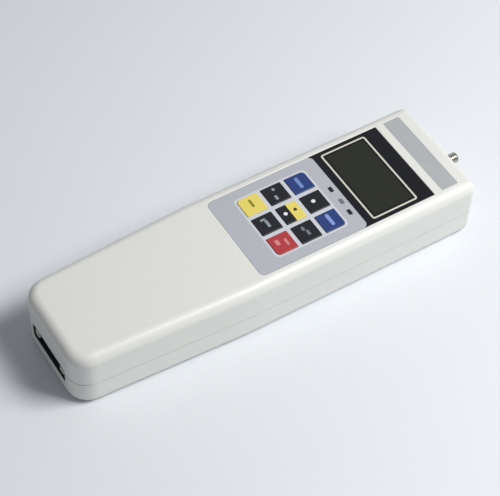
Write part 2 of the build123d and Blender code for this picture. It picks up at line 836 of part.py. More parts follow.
# ---------------------------------------------------------------- load cell
beam_length = cell_length - 2 * (cell_bar + cell_slot)
with BuildPart() as load_cell:
    with BuildSketch(Plane.XY.offset(cell_bottom)):
        with Locations((cell_x, 0)):
            Rectangle(cell_length, cell_width)
        # two slots cut in from opposite sides leave the S
        slot_reach = cell_width - cell_ligament
        for side in (-1, 1):
            slot_x = cell_x + side * (beam_length + cell_slot) / 2
            slot_y = -side * (cell_width - slot_reach) / 2
            with Locations((slot_x, slot_y)):
                Rectangle(cell_slot, slot_reach, mode=Mode.SUBTRACT)
        # double bore that makes the middle beam a parallel flexure
        with Locations((cell_x, 0)):
            Rectangle(cell_neck, cell_bore_spread, mode=Mode.SUBTRACT)
        with Locations((cell_x, -cell_bore_spread / 2), (cell_x, cell_bore_spread / 2)):
            Circle(cell_bore_radius, mode=Mode.SUBTRACT)
    extrude(amount=cell_thickness)
    with BuildSketch(across_x(cell_head_x - cell_bar - cell_slot / 2, 0, axis_height)):
        Circle(thread_radius + screw_gap)
    extrude(amount=cell_bar + cell_slot, mode=Mode.SUBTRACT)
    with BuildSketch(across_x(cell_tail_x, 0, axis_height)):
        Circle(thread_radius + screw_gap)
    extrude(amount=cell_bar + cell_slot / 2, mode=Mode.SUBTRACT)
save(load_cell.part, "load_cell")

with BuildPart() as strain_gauges:
    for side in (-1, 1):
        for across in (-1, 1):
            with BuildSketch(across_x(cell_x + side * beam_length / 2, across * cell_bore_spread / 2, axis_height)):
                Rectangle(gauge_length, gauge_width)
            extrude(amount=side * gauge_thickness)
save(strain_gauges.part, "strain_gauges")

bracket_top = axis_height + cell_thickness / 2 + bracket_top_margin
foot_tail_x = cell_tail_x - bracket_foot_length
with BuildPart() as cell_bracket:
    with BuildSketch(Plane((0, 0, 0), x_dir=(1, 0, 0), z_dir=(0, -1, 0))):
        with BuildLine():
            Polyline(
                (foot_tail_x, bracket_seat),
                (cell_tail_x, bracket_seat),
                (cell_tail_x, bracket_top),
                (cell_tail_x - bracket_upright, bracket_top),
                (cell_tail_x - bracket_upright, bracket_seat + bracket_plate),
                (foot_tail_x, bracket_seat + bracket_plate),
                close=True,
            )
        make_face()
    extrude(amount=bracket_width / 2, both=True)
    for side in (-1, 1):
        gusset_y = side * (bracket_width - bracket_gusset) / 2
        with BuildSketch(Plane((0, gusset_y, 0), x_dir=(1, 0, 0), z_dir=(0, -1, 0))):
            with BuildLine():
                Polyline(
                    (foot_tail_x, bracket_seat + bracket_plate),
                    (cell_tail_x - bracket_upright, bracket_seat + bracket_plate),
                    (cell_tail_x - bracket_upright, bracket_top),
                    close=True,
                )
            make_face()
        extrude(amount=bracket_gusset / 2, both=True)
    with BuildSketch(Plane.XY.offset(bracket_seat)):
        with Locations(*bracket_screw_spots):
            Circle(screw_radius + screw_clearance)
    extrude(amount=bracket_plate, mode=Mode.SUBTRACT)
    with BuildSketch(across_x(cell_tail_x - bracket_upright, 0, axis_height)):
        Circle(thread_radius + screw_clearance)
    extrude(amount=bracket_upright, mode=Mode.SUBTRACT)
    # relief under the anchor bolt's head
    with BuildSketch(across_x(cell_tail_x - bracket_upright, 0, axis_height)):
        Circle(nut_across_flats / sqrt(3) + anchor_head_gap)
    extrude(amount=-anchor_head_height - anchor_head_gap, mode=Mode.SUBTRACT)
save(cell_bracket.part, "cell_bracket")

save(screw(bracket_screw_spots, bracket_seat + bracket_plate, bracket_screw_length, -1), "bracket_screws")

with BuildPart() as anchor_bolt:
    with BuildSketch(across_x(cell_tail_x - bracket_upright - anchor_head_height, 0, axis_height)):
        RegularPolygon(nut_across_flats / 2, 6, major_radius=False)
    extrude(amount=anchor_head_height)
    with BuildSketch(across_x(cell_tail_x - bracket_upright, 0, axis_height)):
        Circle(thread_radius)
    extrude(amount=bracket_upright + thread_engagement)
save(anchor_bolt.part, "anchor_bolt")

# ---------------------------------------------------------------- battery
with BuildPart() as battery_cells:
    for row in range(battery_rows):
        for column in range(battery_columns):
            x = pack_x + (row - (battery_rows - 1) / 2) * battery_pitch_x - battery_length / 2
            y = (column - (battery_columns - 1) / 2) * battery_pitch_y
            with BuildSketch(across_x(x, y, battery_height)):
                Circle(cell_battery_radius)
            extrude(amount=battery_length - battery_pole_height)
            with BuildSketch(across_x(x, y, battery_height)):
                Circle(battery_pole_radius)
            extrude(amount=battery_length)
save(battery_cells.part, "battery_cells")

lug_seat = tray_seat + tray_boss_height
with BuildPart() as battery_tray:
    with BuildSketch(Plane.XY.offset(tray_seat)):
        with Locations((pack_x, 0)):
            Rectangle(tray_length, pack_width + 2 * tray_wall)
    extrude(amount=tray_wall_height)
    with BuildSketch(Plane.XY.offset(tray_seat + tray_floor)):
        with Locations((pack_x, 0)):
            Rectangle(pack_length + 2 * battery_gap, pack_width)
    extrude(amount=tray_wall_height, mode=Mode.SUBTRACT)
    with BuildSketch(Plane.XY.offset(lug_seat)):
        with Locations(*tray_screw_spots):
            Rectangle(lug_length, lug_width)
            Circle(screw_radius + screw_clearance, mode=Mode.SUBTRACT)
    extrude(amount=tray_floor)
save(battery_tray.part, "battery_tray")

strap_under = battery_top + battery_gap
strap_inner_x = tray_length / 2 + battery_gap
strap_end_x = tray_lug_x + lug_length / 2
foot_seat = lug_seat + tray_floor
with BuildPart() as battery_strap:
    with BuildSketch(Plane((pack_x, 0, 0), x_dir=(1, 0, 0), z_dir=(0, -1, 0))):
        with BuildLine():
            Polyline(
                (-strap_end_x, foot_seat),
                (-strap_inner_x, foot_seat),
                (-strap_inner_x, strap_under),
                (strap_inner_x, strap_under),
                (strap_inner_x, foot_seat),
                (strap_end_x, foot_seat),
                (strap_end_x, foot_seat + strap_thickness),
                (strap_inner_x + strap_thickness, foot_seat + strap_thickness),
                (strap_inner_x + strap_thickness, strap_under + strap_thickness),
                (-strap_inner_x - strap_thickness, strap_under + strap_thickness),
                (-strap_inner_x - strap_thickness, foot_seat + strap_thickness),
                (-strap_end_x, foot_seat + strap_thickness),
                close=True,
            )
        make_face()
    extrude(amount=lug_width / 2, both=True)
    with BuildSketch(Plane.XY.offset(foot_seat)):
        with Locations(*tray_screw_spots):
            Circle(screw_radius + screw_clearance)
    extrude(amount=strap_thickness, mode=Mode.SUBTRACT)
save(battery_strap.part, "battery_strap")

save(screw(tray_screw_spots, foot_seat + strap_thickness, tray_screw_length, -1), "tray_screws")

# ---------------------------------------------------------------- data socket
flange_x = port_plane_x + port_flange
with BuildPart() as port_shell:
    with BuildSketch(across_x(port_plane_x, 0, port_height)):
        RectangleRounded(port_flange_width, port_flange_height, port_flange)
        with Locations((-post_spacing / 2, 0), (post_spacing / 2, 0)):
            Circle(screw_radius + screw_gap, mode=Mode.SUBTRACT)
    extrude(amount=port_flange)
    with BuildSketch(across_x(port_shell_x, 0, port_height)):
        add(d_profile(Plane.XY))
    extrude(amount=port_shell_reach)
    with BuildSketch(across_x(port_shell_x, 0, port_height)):
        add(d_profile(Plane.XY, -port_shell_wall))
    extrude(amount=port_shell_reach, mode=Mode.SUBTRACT)
save(port_shell.part, "port_shell")

contact_spots = [((place - 2) * contact_pitch, contact_row_pitch / 2) for place in range(5)] + [
    ((place - 1.5) * contact_pitch, -contact_row_pitch / 2) for place in range(4)
]
with BuildPart() as port_insert:
    with BuildSketch(across_x(port_shell_x + insert_setback, 0, port_height)):
        add(d_profile(Plane.XY, -port_shell_wall - screw_gap))
    extrude(amount=port_shell_reach - insert_setback)
    with BuildSketch(across_x(flange_x, 0, port_height)):
        Rectangle(port_shell_width + 2 * port_flange, port_flange_height - 2 * port_flange)
    extrude(amount=port_body_depth)
    with BuildSketch(across_x(port_shell_x, 0, port_height)):
        with Locations(*contact_spots):
            Circle(contact_radius + screw_gap)
    extrude(amount=port_shell_reach + port_body_depth, mode=Mode.SUBTRACT)
save(port_insert.part, "port_insert")

with BuildPart() as port_contacts:
    with BuildSketch(across_x(port_shell_x + 2 * insert_setback, 0, port_height)):
        with Locations(*contact_spots):
            Circle(contact_radius)
    extrude(amount=port_shell_reach + port_body_depth - 2 * insert_setback)
    with BuildSketch(across_x(port_shell_x + 2 * insert_setback, 0, port_height)):
        with Locations(*contact_spots):
            Circle(contact_hole_radius)
    extrude(amount=port_shell_reach - 2 * insert_setback, mode=Mode.SUBTRACT)
    with BuildSketch(across_x(port_body_x, 0, port_height)):
        with Locations(*contact_spots):
            Circle(contact_hole_radius - screw_gap)
    extrude(amount=board_thickness + port_flange)
save(port_contacts.part, "port_contacts")

with BuildPart() as port_board:
    with BuildSketch(across_x(port_body_x, 0, port_height)):
        Rectangle(port_board_width, port_board_height)
        with Locations(*contact_spots):
            Circle(contact_hole_radius, mode=Mode.SUBTRACT)
    extrude(amount=board_thickness)
save(port_board.part, "port_board")

with BuildPart() as port_posts:
    for side in (-1, 1):
        y = side * post_spacing / 2
        with BuildSketch(across_x(tail_x + bay_length, y, port_height)):
            RegularPolygon(post_across_flats / 2, 6, major_radius=False)
        extrude(amount=-post_length)
        with BuildSketch(across_x(tail_x + bay_length, y, port_height)):
            Circle(screw_radius)
        extrude(amount=bay_floor + port_flange + port_thread_reach)
        with BuildSketch(across_x(tail_x + bay_length - post_length, y, port_height)):
            Circle(post_hole_radius)
        extrude(amount=post_length - port_flange, mode=Mode.SUBTRACT)
save(port_posts.part, "port_posts")

# ---------------------------------------------------------------- power socket
def across_y(y):
    """A sketch plane facing out of the grip's side at the power socket."""
    return Plane((jack_x, y, jack_height), x_dir=(-1, 0, 0), z_dir=(0, 1, 0))


with BuildPart() as power_socket:
    with BuildSketch(across_y(jack_seat_y - jack_body_length)):
        Rectangle(jack_body_width, jack_body_height)
    extrude(amount=jack_body_length)
    with BuildSketch(across_y(jack_seat_y)):
        Circle(jack_collar_radius)
    extrude(amount=jack_outer_y - jack_seat_y)
    with BuildSketch(across_y(jack_outer_y)):
        Circle(jack_bore_radius)
    extrude(amount=-jack_bore_depth, mode=Mode.SUBTRACT)
save(power_socket.part, "power_socket")

with BuildPart() as power_pin:
    with BuildSketch(across_y(jack_outer_y - jack_bore_depth)):
        Circle(jack_pin_radius)
    extrude(amount=jack_bore_depth - jack_pin_radius)
    fillet(power_pin.faces().sort_by(Axis.Y)[-1].edges(), radius=jack_pin_radius / 2)
save(power_pin.part, "power_pin")
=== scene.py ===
import json
import math

import bmesh
import bpy
from mathutils import Matrix, Vector


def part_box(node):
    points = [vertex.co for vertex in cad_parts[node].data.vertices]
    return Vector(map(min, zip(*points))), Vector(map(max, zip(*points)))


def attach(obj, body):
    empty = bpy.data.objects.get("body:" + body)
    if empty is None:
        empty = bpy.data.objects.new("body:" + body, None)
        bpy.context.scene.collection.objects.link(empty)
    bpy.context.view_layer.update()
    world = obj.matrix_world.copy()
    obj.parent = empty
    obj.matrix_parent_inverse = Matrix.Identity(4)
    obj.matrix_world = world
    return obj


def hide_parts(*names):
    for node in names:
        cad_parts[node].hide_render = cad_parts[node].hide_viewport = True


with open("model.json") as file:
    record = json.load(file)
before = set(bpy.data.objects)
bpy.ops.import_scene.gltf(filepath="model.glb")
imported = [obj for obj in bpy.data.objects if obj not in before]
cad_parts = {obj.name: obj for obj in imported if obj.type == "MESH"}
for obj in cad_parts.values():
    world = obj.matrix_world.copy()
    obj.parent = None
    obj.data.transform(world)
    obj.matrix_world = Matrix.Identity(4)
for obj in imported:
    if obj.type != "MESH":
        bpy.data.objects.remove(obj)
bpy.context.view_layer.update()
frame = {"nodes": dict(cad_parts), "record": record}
nodes = frame["nodes"]
scene = bpy.context.scene
mm = 0.001


def hexColor(code):  # sRGB hex to the linear values that shaders work in
    channels = [int(code[i:i + 2], 16) / 255 for i in (1, 3, 5)]
    linear = [c / 12.92 if c <= 0.04045 else ((c + 0.055) / 1.055) ** 2.4 for c in channels]
    return (*linear, 1.0)


def join(tree, source, socket):  # links a socket, or a node's first working output
    if isinstance(source, bpy.types.Node):
        source = next(output for output in source.outputs if output.enabled)
    tree.links.new(source, socket)


def addNode(tree, kind, inputs=(), **settings):  # one node with its settings and its values, colours or links
    node = tree.nodes.new(kind)
    for name, value in settings.items():
        setattr(node, name, value)
    keyed = inputs.items() if isinstance(inputs, dict) else enumerate(inputs)
    for key, value in keyed:
        if isinstance(value, (bpy.types.Node, bpy.types.NodeSocket)):
            join(tree, value, node.inputs[key])
        elif isinstance(value, str) and value.startswith("#"):
            node.inputs[key].default_value = hexColor(value)
        else:
            node.inputs[key].default_value = value
    return node


def chain(tree, kind, value, *steps):  # one operation after another on a value, each with its second value
    for operation, *second in steps:
        value = addNode(tree, kind, [value, *second], operation=operation)
    return value


def newMaterial(name, values):  # a named material, its shader's fixed values and the piece's own coordinates
    material = bpy.data.materials.new(name)
    material.use_nodes = True
    tree = material.node_tree
    shader = tree.nodes["Principled BSDF"]
    shader.inputs["Base Color"].default_value = hexColor(values["color"])
    for label, key in (("Roughness", "roughness"), ("Metallic", "metallic"), ("IOR", "ior"),
                       ("Coat Weight", "coat"), ("Coat Roughness", "coatRoughness")):
        if key in values:
            shader.inputs[label].default_value = values[key]
    place = addNode(tree, "ShaderNodeTexCoord").outputs["Object"]
    return material, tree, shader, place


def perMetre(sizeInMm):  # a pattern's scale from its size on the real surface
    return 1000.0 / sizeInMm


def sized(place, sizeInMm, detail=2.0):  # a noise's inputs
    return {"Vector": place, "Scale": perMetre(sizeInMm), "Detail": detail}


def cover(tree, shader, values, layers=(), gloss=None, relief=None):
    # what varies over a surface: other colours laid over its own, each where its mask is 1,
    # its roughness round the middle value, and its relief in mm
    color = values["color"]
    for mask, layer in layers:
        color = addNode(tree, "ShaderNodeMix", {"Factor": mask, "A": color, "B": layer}, data_type="RGBA")
    if layers:
        join(tree, color, shader.inputs["Base Color"])
    if gloss is not None:
        below, above = values["stray"]
        strayed = addNode(tree, "ShaderNodeMapRange", {
            "Value": gloss, "From Min": 0.3, "From Max": 0.7,  # noise seldom leaves this range
            "To Min": values["roughness"] - below, "To Max": values["roughness"] + above,
        })
        join(tree, strayed, shader.inputs["Roughness"])
    if relief is not None:
        bump = addNode(tree, "ShaderNodeBump", {
            "Height": relief, "Distance": values["relief"] * mm, "Strength": 1.0,
        })
        join(tree, bump, shader.inputs["Normal"])


def printedShape(tree, place, center, size, radius):  # 1 inside a flat shape with round corners, sizes in mm
    core = ((size[0] / 2 - radius) * mm, (size[1] / 2 - radius) * mm, 0.0)
    outside = chain(tree, "ShaderNodeVectorMath", place, ("SUBTRACT", (center[0] * mm, center[1] * mm, 0.0)),
                    ("MULTIPLY", (1.0, 1.0, 0.0)), ("ABSOLUTE",), ("SUBTRACT", core),
                    ("MAXIMUM", (0.0, 0.0, 0.0)), ("LENGTH",))
    return addNode(tree, "ShaderNodeMath", [outside, radius * mm], operation="LESS_THAN")


def dress(material, *names):  # gives CAD nodes their finish
    for name in names:
        data = nodes[name].data
        data.materials.clear()
        data.materials.append(material)


def middle(node):  # middle of a CAD node in mm
    low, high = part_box(node)
    return (low + high) / 2 / mm


def extent(node):  # size of a CAD node in mm
    low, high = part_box(node)
    return (high - low) / mm


housingPaint = {
    "color": "#dfe0dc", "shade": "#d9dad7", "roughness": 0.38, "ior": 1.5,
    "cloud": 60.0,       # mm, slow change of tone over the casting
    "peel": 1.1,         # mm, coarser than the real 0.6 so that it shows
    "glossPatch": 4.4, "stray": (0.04, 0.05), "relief": 0.006,
    "seamHeight": 16.0, "seamReach": 0.45,
    "dust": "#a9a79f", "dustPatch": 3.0, "dustShare": 0.75,
    "bayShade": "#2b2c2f",  # painted shade: the socket's bay in the tail is painted dark inside, for the shade in the recess
    "bay": (33.4, 10.4), "bayCorner": 0.5, "bayHeight": 14.5, "bayMouth": -114.7, "bayEnd": -106.7,
}


def satinEnamel(values):  # enamel sprayed on die-cast aluminium: off-white, soft sheen, faint orange peel
    material, tree, shader, place = newMaterial("satinEnamelSprayed", values)
    cloud = addNode(tree, "ShaderNodeTexNoise", sized(place, values["cloud"], detail=3.0))
    axes = addNode(tree, "ShaderNodeSeparateXYZ", [place]).outputs
    seamHeight = values["seamHeight"] * mm
    fromSeam = chain(tree, "ShaderNodeMath", axes["Z"], ("SUBTRACT", seamHeight), ("ABSOLUTE",))
    nearSeam = addNode(tree, "ShaderNodeMapRange", {
        "Value": fromSeam, "From Min": 0.0, "From Max": values["seamReach"] * mm,
        "To Min": values["dustShare"], "To Max": 0.0,
    })
    patches = addNode(tree, "ShaderNodeTexNoise", sized(place, values["dustPatch"]))
    dust = addNode(tree, "ShaderNodeMath", [nearSeam, patches], operation="MULTIPLY")
    endOn = addNode(tree, "ShaderNodeCombineXYZ", {"X": axes["Y"], "Y": axes["Z"]})
    # painted shade: the walls of the socket's bay in the tail end are painted dark, standing in for the shade
    # in that recess
    bay = printedShape(tree, endOn, (0.0, values["bayHeight"]), values["bay"], values["bayCorner"])
    deep = addNode(tree, "ShaderNodeMath", [axes["X"], values["bayMouth"] * mm], operation="GREATER_THAN")
    nearTail = addNode(tree, "ShaderNodeMath", [axes["X"], values["bayEnd"] * mm], operation="LESS_THAN")
    bay = chain(tree, "ShaderNodeMath", bay, ("MULTIPLY", deep), ("MULTIPLY", nearTail))
    layers = [(cloud, values["shade"]), (dust, values["dust"]), (bay, values["bayShade"])]
    gloss = addNode(tree, "ShaderNodeTexNoise", sized(place, values["glossPatch"]))
    peel = addNode(tree, "ShaderNodeTexNoise", sized(place, values["peel"], detail=1.5))
    cover(tree, shader, values, layers, gloss=gloss, relief=peel)
    return material


dress(satinEnamel(housingPaint), "front_housing", "rear_housing")
print("housings painted")

keypadFoil = {
    "color": "#b0b3bb", "light": "#c9cdd4", "roughness": 0.42, "ior": 1.57,
    "weave": 0.35,       # mm, fine matt texture of the foil
    "stray": (0.05, 0.05), "relief": 0.004,
    "panelMargin": 1.3,  # lighter field behind the keys, beyond them
    "panelCorner": 2.6,
    "marks": (((48.4, 2.7), "#1b1d24"), ((48.7, -6.5), "#6c6e7a"), ((48.4, -14.4), "#1b1d24")),
    "markSize": (2.2, 3.6), "markCorner": 0.5,
}


def polyesterFoil(values):  # polyester foil printed on its back: matt grain over a flat blue-grey
    material, tree, shader, place = newMaterial("polyesterFoilPrinted", values)
    center, outer, keySize = middle("enter_key"), middle("peak_key"), extent("enter_key")
    field = [2 * abs(outer[i] - center[i]) + keySize[i] + 2 * values["panelMargin"] for i in (0, 1)]
    layers = [(printedShape(tree, place, center, field, values["panelCorner"]), values["light"])]
    for spot, markColor in values["marks"]:
        mark = printedShape(tree, place, spot, values["markSize"], values["markCorner"])
        layers.append((mark, markColor))
    grain = addNode(tree, "ShaderNodeTexNoise", sized(place, values["weave"], detail=1.0))
    cover(tree, shader, values, layers, gloss=grain, relief=grain)
    return material


dress(polyesterFoil(keypadFoil), "keypad_overlay")

# each key: its colour, the colour of its marks, and the marks as (dx, dy, length, width, radius) in mm
keyLooks = {
    "shift_key": ("#e2d268", "#8b8226", [(0.2, 0.8, 1.5, 5.4, 0.6)]),
    "menu_key": ("#12151d", "#8b9699", [(-0.7, 2.9, 2.9, 1.3, 0.5), (0.3, -0.3, 1.6, 4.8, 0.6)]),
    "power_key": ("#ad373e", "#ce8283", [(-2.1, 1.2, 2.2, 3.6, 0.7), (2.3, -0.6, 1.4, 4.6, 0.5)]),
    "unit_key": ("#12151d", "#8e95a5", [(0.3, 3.0, 1.5, 1.9, 0.7), (-1.0, -2.4, 1.5, 3.0, 0.6)]),
    "enter_key": ("#12151d", "#e6e8ea", [(-2.8, 0.5, 2.1, 2.1, 1.05)]),
    "mode_key": ("#12151d", "#73747f", [(-0.6, 2.3, 1.5, 2.8, 0.6), (0.6, -1.0, 1.5, 3.4, 0.6)]),
    "zero_key": ("#213a76", "#6c88c0", [(-0.2, 0.1, 2.0, 7.6, 0.9)]),
    "up_key": ("#12151d", "#e6e8ea", [(-0.5, 0.5, 2.2, 2.2, 1.1)]),
    "peak_key": ("#213a76", "#8097d4", [(0.1, 0.4, 2.0, 7.8, 0.9)]),
}
keyFinish = {
    "roughness": 0.4, "ior": 1.57, "coat": 0.1, "coatRoughness": 0.3,
    "grain": 0.4, "stray": (0.05, 0.05), "relief": 0.004,
    "splitColor": "#e2d268", "splitMark": "#3a3420", "splitDot": (2.9, 0.6, 2.0, 2.0, 1.0),
}


def printedKey(node, values):  # the same foil over a key's dome: flat printed colour, satin, with plain marks
    color, markColor, marks = keyLooks[node]
    values = {**values, "color": color}
    material, tree, shader, place = newMaterial("printedKeyFoil_" + node.replace("_key", ""), values)
    center = middle(node)

    def mark(dx, dy, length, width, radius):
        return printedShape(tree, place, (center[0] + dx, center[1] + dy), (length, width), radius)

    layers = [(mark(*spot), markColor) for spot in marks]
    if node == "enter_key":  # its half towards the display has the second colour and a dark dot
        along = addNode(tree, "ShaderNodeSeparateXYZ", [place]).outputs["X"]
        half = addNode(tree, "ShaderNodeMath", [along, center[0] * mm], operation="GREATER_THAN")
        dot = mark(*values["splitDot"])
        layers = [(half, values["splitColor"]), (dot, values["splitMark"])] + layers
    grain = addNode(tree, "ShaderNodeTexNoise", sized(place, values["grain"], detail=1.0))
    cover(tree, shader, values, layers, gloss=grain, relief=grain)
    return material


for keyNode in keyLooks:
    dress(printedKey(keyNode, keyFinish), keyNode)
print("keypad printed")

windowFinish = {
    "color": "#13141a", "roughness": 0.16, "ior": 1.49, "coat": 0.5, "coatRoughness": 0.05,
    "line": "#d3d0c5", "lineWidth": 0.95, "lineRadius": 1.5, "lineInset": 0.8,
    "view": "#24271d", "viewRadius": 0.6, "viewMargin": 1.3,
    "dust": 9.0,         # mm, faint change of gloss from wiping
    "stray": (0.04, 0.06),
}


def backPrintedAcrylic(values):  # acrylic printed on its back: glossy black, a light line round the view
    material, tree, shader, place = newMaterial("acrylicBackPrinted", values)
    center, radius, width = middle("display_glass"), values["lineRadius"], values["lineWidth"]
    outer = [side - 2 * values["lineInset"] for side in extent("display_glass")[:2]]
    inner = [side - 2 * width for side in outer]
    viewSize = [side - 2 * values["viewMargin"] for side in inner]
    layers = [(printedShape(tree, place, center, outer, radius), values["line"]),
              (printedShape(tree, place, center, inner, radius - width), values["color"]),
              (printedShape(tree, place, center, viewSize, values["viewRadius"]), values["view"])]
    gloss = addNode(tree, "ShaderNodeTexNoise", sized(place, values["dust"], detail=3.0))
    cover(tree, shader, values, layers, gloss=gloss)
    return material


dress(backPrintedAcrylic(windowFinish), "display_window")

labelFinish = {
    "color": "#b7babe", "bright": "#c4c7ca", "roughness": 0.4, "metallic": 0.35,
    "brush": 0.35, "stretch": 0.02, "stray": (0.06, 0.08), "relief": 0.003,
}


def brushedFoil(values):  # metallised foil, brushed along its length: grey with a silky drag
    material, tree, shader, place = newMaterial("metallisedFoilBrushed", values)
    dragged = addNode(tree, "ShaderNodeMapping", {"Vector": place, "Scale": (1.0, values["stretch"], 1.0)})
    strokes = addNode(tree, "ShaderNodeTexNoise", sized(dragged, values["brush"]))
    cover(tree, shader, values, [(strokes, values["bright"])], gloss=strokes, relief=strokes)
    return material


dress(brushedFoil(labelFinish), "label_strip")
print("display and label finished")


def turnedMetal(name, values):  # lathe-turned metal: fine rings round the shaft's axis, bright sheen
    material, tree, shader, place = newMaterial(name, values)
    axisHeight = middle("measuring_shaft").z * mm
    reach = chain(tree, "ShaderNodeVectorMath", place, ("SUBTRACT", (0.0, 0.0, axisHeight)),
                  ("MULTIPLY", (0.0, 1.0, 1.0)), ("LENGTH",))
    along = addNode(tree, "ShaderNodeSeparateXYZ", [place]).outputs["X"]
    spot = addNode(tree, "ShaderNodeMath", [along, reach], operation="ADD")
    rings = addNode(tree, "ShaderNodeTexNoise", {"W": spot, "Scale": perMetre(values["ring"]), "Detail": 2.0},
                    noise_dimensions="1D")
    cover(tree, shader, values, gloss=rings, relief=rings)
    return material


def platedMetal(name, values):  # plated metal: even colour, small pits and rub marks in its gloss
    material, tree, shader, place = newMaterial(name, values)
    rub = addNode(tree, "ShaderNodeTexNoise", sized(place, values["rub"], detail=4.0))
    pits = addNode(tree, "ShaderNodeTexNoise", sized(place, values["pit"], detail=1.0))
    cover(tree, shader, values, [(rub, values["dull"])], gloss=rub, relief=pits)
    return material


def milledMetal(name, values):  # face-milled metal: fine parallel cutter lines and a soft grey sheen
    material, tree, shader, place = newMaterial(name, values)
    dragged = addNode(tree, "ShaderNodeMapping", {"Vector": place, "Scale": (1.0, values["stretch"], 1.0)})
    lines = addNode(tree, "ShaderNodeTexNoise", sized(dragged, values["line"]))
    cover(tree, shader, values, [(lines, values["dull"])], gloss=lines, relief=lines)
    return material


turning = {"metallic": 1.0, "stray": (0.05, 0.1), "relief": 0.003}
shaftSteel = turnedMetal("stainlessSteelTurned", {  # cool grey and bright
    **turning, "color": "#c9c8c4", "roughness": 0.24, "ring": 0.12,
})
bushSteel = turnedMetal("nickelPlatedBrassTurned", {  # warmer and a little softer, with coarser rings
    **turning, "color": "#c2c0b8", "roughness": 0.28, "ring": 0.16,
})

plating = {"metallic": 1.0, "stray": (0.06, 0.12)}
zincSteel = platedMetal("zincPlatedSteel", {  # cool grey, half bright
    **plating, "color": "#b4b6b8", "dull": "#9fa2a3", "roughness": 0.34,
    "rub": 1.6, "pit": 0.3, "relief": 0.004,
})
brightNickel = platedMetal("nickelPlatedShell", {  # warm white, even and bright
    **plating, "color": "#dcdad3", "dull": "#cbc8c0", "roughness": 0.32,
    "rub": 2.4, "pit": 0.4, "relief": 0.002,
})
rawBrass = platedMetal("brassTurned", {  # yellow, browned in patches
    **plating, "color": "#c9ab6a", "dull": "#a98e57", "roughness": 0.3,
    "rub": 1.2, "pit": 0.25, "relief": 0.003,
})
goldFlash = platedMetal("goldFlashedBrass", {  # deep yellow, smooth and bright
    **plating, "color": "#d9b565", "dull": "#c9a65a", "roughness": 0.2,
    "rub": 0.8, "pit": 0.2, "relief": 0.001,
})
blackSteel = platedMetal("steelBlackened", {  # dark grey, satin
    **plating, "color": "#6f7072", "dull": "#5f6063", "roughness": 0.42,
    "rub": 2.0, "pit": 0.3, "relief": 0.004,
})
milledAluminium = milledMetal("aluminiumMilled", {  # pale and soft, with lines across the beam
    "color": "#dadcde", "dull": "#c9ccce", "roughness": 0.5, "metallic": 1.0,
    "line": 0.5, "stretch": 0.04, "stray": (0.05, 0.08), "relief": 0.004,
})


def mouldedPlastic(name, values):  # injection-moulded plastic: flat colour, fine spark-eroded grain
    material, tree, shader, place = newMaterial(name, values)
    tone = addNode(tree, "ShaderNodeTexNoise", sized(place, values["tone"]))
    grain = addNode(tree, "ShaderNodeTexNoise", sized(place, values["grain"], detail=1.0))
    cover(tree, shader, values, [(tone, values["shade"])], gloss=grain, relief=grain)
    return material


moulding = {"stray": (0.06, 0.08)}
blackNylon = mouldedPlastic("glassFilledNylonMoulded", {  # black, satin
    **moulding, "color": "#191a1c", "shade": "#222326", "roughness": 0.45, "ior": 1.53,
    "tone": 3.0, "grain": 0.25, "relief": 0.006,
})
ivoryNylon = mouldedPlastic("nylonMoulded", {  # ivory, waxy
    **moulding, "color": "#dcd8c6", "shade": "#d2cdb9", "roughness": 0.42, "ior": 1.53,
    "tone": 3.0, "grain": 0.25, "relief": 0.004,
})
greyAbs = mouldedPlastic("absMoulded", {  # dark grey, soft and grainy
    **moulding, "color": "#34363a", "shade": "#2c2e32", "roughness": 0.5, "ior": 1.54,
    "tone": 6.0, "grain": 0.3, "relief": 0.006,
})
chipResin = mouldedPlastic("epoxyMoulded", {  # black and dull
    **moulding, "color": "#1c1c1d", "shade": "#242426", "roughness": 0.55, "ior": 1.55,
    "tone": 2.0, "grain": 0.15, "relief": 0.006,
})
gaugeFilm = mouldedPlastic("polyimideFilm", {  # amber and glossy
    **moulding, "color": "#b9812c", "shade": "#a87226", "roughness": 0.28, "ior": 1.7,
    "tone": 2.0, "grain": 0.4, "relief": 0.002,
})
circuitFilm = mouldedPlastic("polyesterFilm", {  # cream, half glossy
    **moulding, "color": "#cfc9a8", "shade": "#c4bd9b", "roughness": 0.35, "ior": 1.57,
    "tone": 5.0, "grain": 0.5, "relief": 0.002,
})
displayGlass = mouldedPlastic("polarisedGlass", {  # grey-green, very smooth
    **moulding, "color": "#4a4e42", "shade": "#45493e", "roughness": 0.12, "ior": 1.52,
    "tone": 20.0, "grain": 2.0, "relief": 0.0005,
})

circuitBoardLook = {
    "color": "#1b5636", "copper": "#2b6e45", "roughness": 0.3, "ior": 1.5,
    "trackPitch": 4.0, "trackEdge": 0.045, "relief": 0.02,
}


def maskedBoard(values):  # glass-epoxy board under green solder mask: tracks lighter and a little proud
    material, tree, shader, place = newMaterial("epoxyBoardSolderMasked", values)
    cells = addNode(tree, "ShaderNodeTexVoronoi", {"Vector": place, "Scale": perMetre(values["trackPitch"])},
                    feature="DISTANCE_TO_EDGE")
    track = addNode(tree, "ShaderNodeMath", [cells, values["trackEdge"]], operation="LESS_THAN")
    cover(tree, shader, values, [(track, values["copper"])], relief=track)
    return material


batteryLook = {
    "color": "#3f7a58", "can": "#b9babb", "roughness": 0.3, "ior": 1.53,
    "wrinkle": 1.5, "relief": 0.01,
    "starts": (-76.6, -47.7), "bare": 0.5,
    "endFacing": 0.7,    # a face that looks this much along X is an end
}


